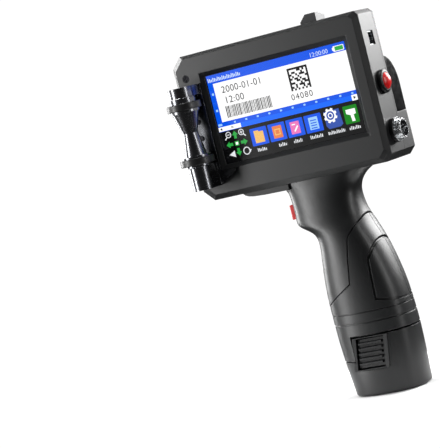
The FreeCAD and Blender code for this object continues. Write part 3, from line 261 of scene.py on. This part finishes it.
# Pigmented ABS button caps; the clear red has a polished skin.
button_red = moulded("power_cap_red_abs", "D80F14", "E3161A", (0.28, 0.34), 0.9, 0.003, 0.25,
                     {"Coat Weight": 0.1, "Coat Roughness": 0.2})
trigger_red = moulded("trigger_red_abs", "C4171A", "D11D1F", (0.28, 0.36), 0.5, 0.008, 0.25)
# Polyimide film with an amber cast.
flex_amber = moulded("ribbon_polyimide", "9A5A17", "A8661F", (0.25, 0.35), 1.2, 0.006, 0.05,
                     {"Coat Weight": 0.3})
lcd_back = moulded("lcd_frame_tinned", "2B2C2E", "35363A", (0.3, 0.4), 0.8, 0.004, 0.2)

# Decorative chrome on brass: bright, sharp reflections with a very fine turned line.
connector_chrome = machined("connector_chrome_plate", "D6D8DA", "E6E8EA", (0.16, 0.26), "X",
                            0.5, 0.002)
steel = machined("axle_stainless_steel", "A9ABAE", "C0C2C5", (0.18, 0.30), "Z", 0.3, 0.003)
dark_steel = machined("screw_blackened_steel", "1B1B1D", "2A2A2D", (0.25, 0.38), "Y", 0.3,
                      0.004)
nose_metal = machined("nose_plate_brushed_steel", "77797C", "8D8F92", (0.30, 0.42), "Z", 0.25,
                      0.004)
socket_steel = machined("socket_tinned_steel", "8D8F92", "A4A6A9", (0.2, 0.32), "Z", 0.3, 0.003)
spring_steel = machined("spring_leaf_steel", "8E9093", "A8AAAD", (0.2, 0.3), "Z", 0.3, 0.003)
gold = machined("contact_gold_plate", "C99A3F", "DDB257", (0.15, 0.25), "Z", 0.3, 0.002)
bush_brass = machined("bush_turned_brass", "B08A3E", "C59F50", (0.18, 0.3), "Z", 0.25, 0.003)

board_green = circuit_board("board_solder_mask", "0B4A26", "1C6B3B")
touch_glass = cover_glass()
label_paper = coated_label()
cell_sleeve = shrink_sleeve()

finish_of_slot = {
    "shell_plastic": shell_plastic, "gloss_black": gloss_black, "roller_black": roller_black,
    "roller_rubber": roller_rubber, "grip_rubber": grip_rubber, "steel": steel,
    "dark_steel": dark_steel, "nose_metal": nose_metal, "foam": gasket_foam,
    "screen_glass": touch_glass, "lcd": lcd_back, "board_green": board_green,
    "chip_black": chip_black, "flex_amber": flex_amber, "socket_steel": socket_steel,
    "bezel_black": bezel_black, "button_red": button_red, "trigger_red": trigger_red,
    "connector_chrome": connector_chrome, "insert_black": insert_black, "gold": gold,
    "brass_bush": bush_brass, "switch_black": switch_black, "cartridge_black": cartridge_black,
    "label_paper": label_paper, "latch_black": latch_black, "spring_steel": spring_steel,
    "battery_plastic": battery_plastic, "release_plastic": release_plastic,
    "cell_sleeve": cell_sleeve,
}
for part in frame["record"]["subparts"]:
    slots = nodes[part["node"]].material_slots
    for place in slots:
        place.material = finish_of_slot[part["material_slot"]]


# ------------------------------------------------------------------ modelling by hand
def clear_choice():
    bpy.ops.object.select_all(action="DESELECT")


def settle(piece, name, finish, body):
    """Name a finished piece, put its place in its mesh, give it its finish and let it ride."""
    clear_choice()
    piece.select_set(True)
    bpy.context.view_layer.objects.active = piece
    bpy.ops.object.transform_apply(location=True, rotation=True, scale=True)
    piece.name = name
    piece.data.name = name
    piece.data.materials.clear()
    piece.data.materials.append(finish)
    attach(piece, body)
    return piece


def joined(pieces):
    """One object from several."""
    clear_choice()
    for piece in pieces:
        piece.select_set(True)
    bpy.context.view_layer.objects.active = pieces[0]
    if len(pieces) > 1:
        bpy.ops.object.join()
    return bpy.context.view_layer.objects.active


display_w = 95.04     # lit area, in millimetres
display_h = 53.86
film = 0.03           # thickness of a film tile
film_lift = 0.02      # first layer above the glass
film_step = 0.04      # from one layer to the next


def place_of(u, v, layer):
    """Point on the display from its upper left corner, in millimetres across and down."""
    low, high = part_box("touch_panel")
    x = (low.x + high.x) / 2 - display_w / 2 * mm + u * mm
    z = (low.z + high.z) / 2 + display_h / 2 * mm - v * mm
    return Vector((x, low.y - (film_lift + film_step * layer) * mm, z))


def film_tile(u0, v0, u1, v1, layer, corner=0.0):
    """Thin film tile facing the reader, with its four corners rounded."""
    clear_choice()
    bpy.ops.mesh.primitive_plane_add(size=1.0)
    tile = bpy.context.view_layer.objects.active
    tile.scale = ((u1 - u0) * mm, (v1 - v0) * mm, 1.0)
    bpy.ops.object.transform_apply(location=True, rotation=True, scale=True)
    bpy.ops.object.mode_set(mode="EDIT")
    bpy.ops.mesh.select_all(action="SELECT")
    if corner:
        bpy.ops.mesh.bevel(offset=corner * mm, segments=4, affect="VERTICES")
        bpy.ops.mesh.select_all(action="SELECT")
    bpy.ops.mesh.extrude_region_move(TRANSFORM_OT_translate={"value": (0, 0, film * mm)})
    bpy.ops.mesh.select_all(action="SELECT")
    bpy.ops.mesh.normals_make_consistent(inside=False)
    bpy.ops.object.mode_set(mode="OBJECT")
    centre = place_of((u0 + u1) / 2, (v0 + v1) / 2, layer)
    tile.matrix_world = Matrix.Translation(centre) @ screen_side
    return tile


def film_shape(points, layer):
    """Thin film cut to an outline of (across, down) points, drawn by extruding its rim."""
    clear_choice()
    bpy.ops.mesh.primitive_circle_add(vertices=len(points), radius=1.0, fill_type="NGON")
    shape = bpy.context.view_layer.objects.active
    base = place_of(0, 0, layer)
    for vertex, (u, v) in zip(shape.data.vertices, points):
        vertex.co = (u * mm, -v * mm, 0.0)
    bpy.ops.object.mode_set(mode="EDIT")
    bpy.ops.mesh.select_all(action="SELECT")
    bpy.ops.mesh.extrude_region_move(TRANSFORM_OT_translate={"value": (0, 0, film * mm)})
    bpy.ops.mesh.select_all(action="SELECT")
    bpy.ops.mesh.normals_make_consistent(inside=False)
    bpy.ops.object.mode_set(mode="OBJECT")
    shape.matrix_world = Matrix.Translation(base) @ screen_side
    return shape


def film_ring(u, v, radius, width, layer, segments=28):
    """Thin film ring: a disc whose middle is inset and taken out."""
    clear_choice()
    bpy.ops.mesh.primitive_circle_add(vertices=segments, radius=radius * mm, fill_type="NGON")
    ring = bpy.context.view_layer.objects.active
    bpy.ops.object.mode_set(mode="EDIT")
    bpy.ops.mesh.select_all(action="SELECT")
    bpy.ops.mesh.inset(thickness=width * mm)
    bpy.ops.mesh.delete(type="FACE")
    bpy.ops.mesh.select_all(action="SELECT")
    bpy.ops.mesh.extrude_region_move(TRANSFORM_OT_translate={"value": (0, 0, film * mm)})
    bpy.ops.mesh.select_all(action="SELECT")
    bpy.ops.mesh.normals_make_consistent(inside=False)
    bpy.ops.object.mode_set(mode="OBJECT")
    ring.matrix_world = Matrix.Translation(place_of(u, v, layer)) @ screen_side
    return ring


def numerals(body, u, v, height, spacing, layer):
    """Plain numerals as thin film; (u, v) is the left end of their base line."""
    clear_choice()
    bpy.ops.object.text_add()
    text = bpy.context.view_layer.objects.active
    text.data.body = body
    text.data.size = height / 0.72 * mm
    text.data.space_character = spacing
    text.data.extrude = film / 2 * mm
    bpy.ops.object.convert(target="MESH")
    made = bpy.context.view_layer.objects.active
    made.matrix_world = Matrix.Translation(place_of(u, v, layer)) @ screen_side
    return made


def display_piece(name, finish, parts):
    """Join the film parts of one colour into one piece of the display."""
    clear_choice()
    return settle(joined(parts), name, finish, "housing")


# ------------------------------------------------------------------ what the display shows
white = lit_pixels("pixels_white", "FFFFFF", 1.15)
black = lit_pixels("pixels_black", "020203", 1.0)
ink_grey = lit_pixels("pixels_ink", "16181B", 1.0)
blue = lit_pixels("pixels_blue", "0558EE", 1.05)
bright_blue = lit_pixels("pixels_bright_blue", "0A68FF", 1.15)
green = lit_pixels("pixels_green", "2FB04A", 1.0)
start_green = lit_pixels("pixels_deep_green", "0B8A12", 1.0)
violet = lit_pixels("pixels_violet_blue", "3657B4", 1.0)
yellow = lit_pixels("pixels_yellow", "FFC972", 1.0)
orange = lit_pixels("pixels_orange", "F4874E", 1.0)
pink = lit_pixels("pixels_pink", "F77CC4", 1.0)
sky = lit_pixels("pixels_sky", "9FD0FF", 1.1)
silver = lit_pixels("pixels_silver", "E4E6EA", 1.1)
pale_blue = lit_pixels("pixels_pale_blue", "CFE2FF", 1.1)

display_piece("display_ground", black, [film_tile(0.0, 0.0, display_w, display_h, 0)])
display_piece("display_header", blue, [
    film_tile(0.5, 0.2, 94.7, 5.6, 1), film_tile(0.5, 5.2, 4.3, 31.8, 1),
    film_tile(4.0, 28.6, 94.7, 31.8, 1)])
display_piece("display_scroll_row", bright_blue, [film_tile(0.5, 31.6, 94.7, 34.5, 2)])

ruler = [film_tile(12.5 + 7.96 * i - 0.7, 29.8, 12.5 + 7.96 * i + 0.7, 30.9, 3, 0.3)
         for i in range(1, 11)]
ruler += [film_tile(11.9, 29.8, 13.1, 30.9, 3, 0.3), film_tile(0.9, 29.7, 3.6, 31.0, 3, 0.3)]
ruler += [film_tile(1.8, v - 0.7, 3.2, v + 0.7, 3, 0.3) for v in (11.6, 21.6)]
display_piece("display_ruler_marks", sky, ruler)

display_piece("display_paper", white, [
    film_tile(4.1, 5.5, 94.7, 28.9, 3), film_tile(0.5, 31.7, 15.9, 34.3, 3),
    film_tile(91.0, 31.4, 94.7, 34.7, 3)])


def word_stand_in(u0, u1, v0, v1, layer, seed):
    """A row of small upright bars in place of a word."""
    bars = []
    u = u0
    i = seed
    while u < u1:
        wide = (0.55, 0.8, 0.65)[i % 3]
        drop = (0.0, 0.35, 0.15)[(i * 2) % 3] * (v1 - v0)
        bars.append(film_tile(u, v0 + drop, min(u + wide, u1), v1, layer))
        u = u + wide + 0.42
        i = i + 1
    return bars


captions = [(23.0, 29.4), (37.6, 43.2), (47.8, 53.4), (59.0, 67.6), (71.0, 82.2), (85.0, 92.2)]
marks = []
for number, (u0, u1) in enumerate(captions):
    marks += word_stand_in(u0, u1, 48.8, 50.9, 3, number)
display_piece("display_captions", silver, marks)
display_piece("display_header_marks", pale_blue, word_stand_in(1.3, 23.6, 1.9, 4.3, 3, 0) + [
    numerals("12:00:00", 70.8, 4.6, 2.6, 1.0, 3)])

bars = []
u = 8.6
for i in range(34):
    wide = (0.62, 0.36, 0.5, 0.3, 0.7, 0.42)[(i * 5 + i // 4) % 6]
    bars.append(film_tile(u, 20.2, u + wide, 27.2, 4))
    u = u + wide + (0.42, 0.55, 0.36)[(i * 2 + i // 3) % 3]
display_piece("display_bar_code", ink_grey, bars + [
    numerals("2000-01-01", 8.7, 12.1, 4.1, 1.06, 4), numerals("12:00", 9.2, 18.6, 4.2, 1.06, 4),
    numerals("04080", 53.0, 26.3, 3.6, 1.2, 4)])

# A plain dot grid stands where a printed picture would be.
grid = []
cell = 1.22
pattern = (0b11111111111, 0b10000110101, 0b10110001001, 0b11001011101, 0b10100100011,
           0b11011010001, 0b10001101101, 0b11100010111, 0b10010111001, 0b11010001011,
           0b10101010101)
for row, bits in enumerate(pattern):
    for column in range(11):
        if bits >> (10 - column) & 1:
            u, v = 54.3 + column * cell, 7.7 + row * cell
            grid.append(film_tile(u, v, u + cell + 0.02, v + cell + 0.02, 4))
display_piece("display_dot_grid", black, grid)

display_piece("display_scroll_arrows", ink_grey, [
    film_shape([(1.4, 33.0), (2.9, 32.2), (2.9, 33.8)], 4),
    film_shape([(93.9, 33.0), (92.2, 32.1), (92.2, 33.9)], 4),
    film_tile(9.4, 32.4, 9.8, 33.6, 4), film_tile(10.2, 32.4, 10.6, 33.6, 4)])

display_piece("display_battery_case", white, [film_tile(86.8, 1.7, 93.8, 4.9, 3, 0.5),
                                              film_tile(86.2, 2.5, 86.9, 4.1, 3)])
display_piece("display_battery_level", green, [film_tile(87.9, 2.1, 93.4, 4.5, 4, 0.3)])


def arrow(u, v, turn_by, layer):
    """Block arrow with its middle at (u, v), turned clockwise from pointing up."""
    c, s = math.cos(math.radians(turn_by)), math.sin(math.radians(turn_by))
    outline = [(0, -2.3), (2.0, 0.1), (0.9, 0.1), (0.9, 2.3), (-0.9, 2.3), (-0.9, 0.1),
               (-2.0, 0.1)]
    return film_shape([(u + x * c - y * s, v + x * s + y * c) for x, y in outline], layer)


display_piece("display_move_arrows", green, [
    arrow(10.3, 37.8, 0, 1), arrow(15.4, 43.1, 90, 1), arrow(10.3, 48.3, 180, 1),
    arrow(5.3, 43.1, 270, 1), film_tile(8.9, 41.7, 11.7, 44.5, 1, 0.3)])
display_piece("display_centre_square", white, [film_tile(9.5, 42.3, 11.1, 43.9, 2, 0.2)])


def slanted_bar(u0, v0, u1, v1, width, layer):
    long = math.hypot(u1 - u0, v1 - v0)
    a, b = -(v1 - v0) / long * width / 2, (u1 - u0) / long * width / 2
    return film_shape([(u0 + a, v0 + b), (u1 + a, v1 + b), (u1 - a, v1 - b),
                       (u0 - a, v0 - b)], layer)


display_piece("display_tool_marks", silver, [
    film_ring(5.9, 37.1, 1.9, 0.5, 1), slanted_bar(4.6, 38.5, 3.1, 39.8, 0.7, 1),
    film_tile(5.0, 36.9, 6.8, 37.4, 1),
    film_ring(14.8, 37.1, 1.9, 0.5, 1), slanted_bar(16.1, 38.5, 17.4, 39.8, 0.7, 1),
    film_tile(13.9, 36.9, 15.7, 37.4, 1), film_tile(14.55, 36.2, 15.05, 38.1, 2),
    film_shape([(3.4, 49.0), (7.5, 46.9), (7.5, 51.0)], 1),
    film_ring(15.6, 48.7, 2.4, 0.6, 1),
    film_shape([(17.1, 48.3), (19.0, 48.3), (18.0, 50.0)], 2)])

display_piece("display_blue_tiles", blue, [
    film_tile(u0, 36.8, u0 + 11.3, 47.3, 1, 0.5) for u0 in (20.5, 32.9, 45.2, 57.5)])
display_piece("display_yellow_page", yellow, [
    film_tile(23.0, 39.2, 29.3, 45.8, 2, 0.3), film_tile(23.0, 38.4, 26.2, 39.6, 3, 0.3)])
display_piece("display_orange_page", orange, [film_tile(35.6, 38.4, 41.8, 45.7, 2, 0.3)])
display_piece("display_pink_page", pink, [film_tile(47.7, 38.4, 53.8, 45.7, 2, 0.3)])
display_piece("display_sky_page", sky, [film_tile(60.2, 38.4, 66.2, 45.7, 2, 0.3)])
page_lines = [film_tile(61.2, 40.0 + 1.5 * i, 65.2, 40.6 + 1.5 * i, 3) for i in range(4)]
display_piece("display_page_lines", blue, page_lines)
display_piece("display_page_frames", yellow, [
    film_tile(36.8, 40.2, 40.6, 40.8, 3), film_tile(36.8, 43.3, 40.6, 43.9, 3),
    film_tile(36.8, 40.2, 37.4, 43.9, 3), film_tile(40.0, 40.2, 40.6, 43.9, 3)])
display_piece("display_pen_mark", white, [
    slanted_bar(50.0, 44.2, 52.6, 41.2, 0.9, 3), film_tile(48.8, 39.8, 51.2, 40.4, 3)])
display_piece("display_settings_tile", violet, [
    film_shape([(71.0, 37.2), (81.0, 36.9), (81.8, 46.2), (80.0, 47.4), (72.4, 47.6),
                (70.9, 45.6)], 1)])
teeth = []
for i in range(8):
    a = math.radians(45 * i + 22.5)
    teeth.append(slanted_bar(74.9 + 2.6 * math.cos(a), 40.0 + 2.6 * math.sin(a),
                             74.9 + 4.4 * math.cos(a), 40.0 + 4.4 * math.sin(a), 1.5, 2))
display_piece("display_cog", white, teeth + [film_ring(74.9, 40.0, 3.6, 1.0, 3),
                                             film_ring(74.9, 40.0, 1.6, 0.6, 3)])
display_piece("display_start_tile", start_green, [film_tile(83.5, 36.8, 92.6, 47.3, 1, 0.6)])
display_piece("display_start_mark", white, [
    film_shape([(85.1, 39.0), (91.2, 39.0), (91.2, 42.0), (89.6, 42.4), (90.0, 46.2),
                (88.0, 46.2), (87.6, 42.4), (85.1, 41.4)], 2)])


# ------------------------------------------------------------------ small modelled pieces
def socket_contacts():
    """Four contact strips on the data socket's tongue, a millimetre apart."""
    low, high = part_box("usb_socket")
    strips = []
    for i in range(4):
        z = (low.z + high.z) / 2 + (i - 1.5) * mm
        clear_choice()
        bpy.ops.mesh.primitive_cube_add(size=1.0, location=(high.x - 3.6 * mm,
                                                            (low.y + high.y) / 2 - 0.47 * mm, z))
        strip = bpy.context.view_layer.objects.active
        strip.scale = (4.4 * mm, 0.1 * mm, 0.45 * mm)
        bpy.ops.object.transform_apply(location=True, rotation=True, scale=True)
        bpy.ops.object.mode_set(mode="EDIT")
        bpy.ops.mesh.select_all(action="SELECT")
        bpy.ops.mesh.bevel(offset=0.03 * mm, segments=2)
        bpy.ops.object.mode_set(mode="OBJECT")
        strips.append(strip)
    return settle(joined(strips), "socket_contact_strips", gold, "housing")


socket_contacts()


# ------------------------------------------------------------------ floor and light
floor_radius = 0.12


def floor():
    """Plain pale floor under the printer."""
    clear_choice()
    bpy.ops.mesh.primitive_circle_add(vertices=96, radius=floor_radius, fill_type="NGON",
                                      location=(0, 0, -0.0003))
    ground = bpy.context.view_layer.objects.active
    bpy.ops.object.transform_apply(location=True, rotation=True, scale=True)
    ground.name = "pale_floor"
    made, tree, shader, where = start("floor_matt_white_board", "F4F4F4", 0.9)
    fleck = add(tree, "ShaderNodeTexNoise", {"Scale": per_mm(60), "Detail": 2.0},
                {"Vector": where})
    tone = add(tree, "ShaderNodeMix", {"data_type": "RGBA", 6: srgb("F2F2F2"),
                                       7: srgb("F6F6F6")}, {0: fleck.outputs["Fac"]})
    tree.links.new(tone.outputs[2], shader.inputs["Base Color"])
    ground.data.materials.append(made)


floor()

aim = Vector((-0.015, 0.0, 0.13))


def softbox(name, azimuth, height, distance, width, tall, watts):
    """Soft rectangular lamp that faces the printer; azimuth 0 is the screen side, 90 the
    port end."""
    lamp = bpy.data.lights.new(name, "AREA")
    lamp.shape = "RECTANGLE"
    lamp.size = width
    lamp.size_y = tall
    lamp.energy = watts
    holder = bpy.data.objects.new(name, lamp)
    a = math.radians(azimuth)
    spot = aim + Vector((math.sin(a) * distance, -math.cos(a) * distance, height))
    holder.matrix_world = (Matrix.Translation(spot) @
                           (spot - aim).to_track_quat("Z", "Y").to_matrix().to_4x4())
    holder.visible_camera = False
    bpy.context.scene.collection.objects.link(holder)


softbox("left_softbox", -48, 0.12, 0.9, 0.20, 0.8, 9.0)
softbox("far_left_softbox", -100, 0.20, 0.9, 0.30, 0.8, 10.0)
softbox("right_softbox", 84, 0.20, 0.9, 0.16, 0.7, 3.0)
softbox("rear_right_softbox", 152, 0.30, 0.8, 0.60, 0.46, 13.0)
softbox("rear_left_softbox", -140, 0.25, 0.9, 0.3, 0.9, 4.0)

sun = bpy.data.lights.new("overhead_light", "SUN")
sun.energy = 1.9
sun.angle = math.radians(20)
overhead = bpy.data.objects.new("overhead_light", sun)
bpy.context.scene.collection.objects.link(overhead)

world = bpy.data.worlds.new("white_studio")
world.use_nodes = True
sky_tree = world.node_tree
sky_tree.nodes.clear()
seen = add(sky_tree, "ShaderNodeLightPath")
fill = add(sky_tree, "ShaderNodeBackground", {"Color": (1, 1, 1, 1), "Strength": 0.05})
backdrop = add(sky_tree, "ShaderNodeBackground", {"Color": (1, 1, 1, 1), "Strength": 1.05})
both = add(sky_tree, "ShaderNodeMixShader", links={
    0: seen.outputs["Is Camera Ray"], 1: fill.outputs["Background"],
    2: backdrop.outputs["Background"]})
add(sky_tree, "ShaderNodeOutputWorld", links={"Surface": both.outputs["Shader"]})
bpy.context.scene.world = world
bpy.context.scene.view_settings.view_transform = "Standard"
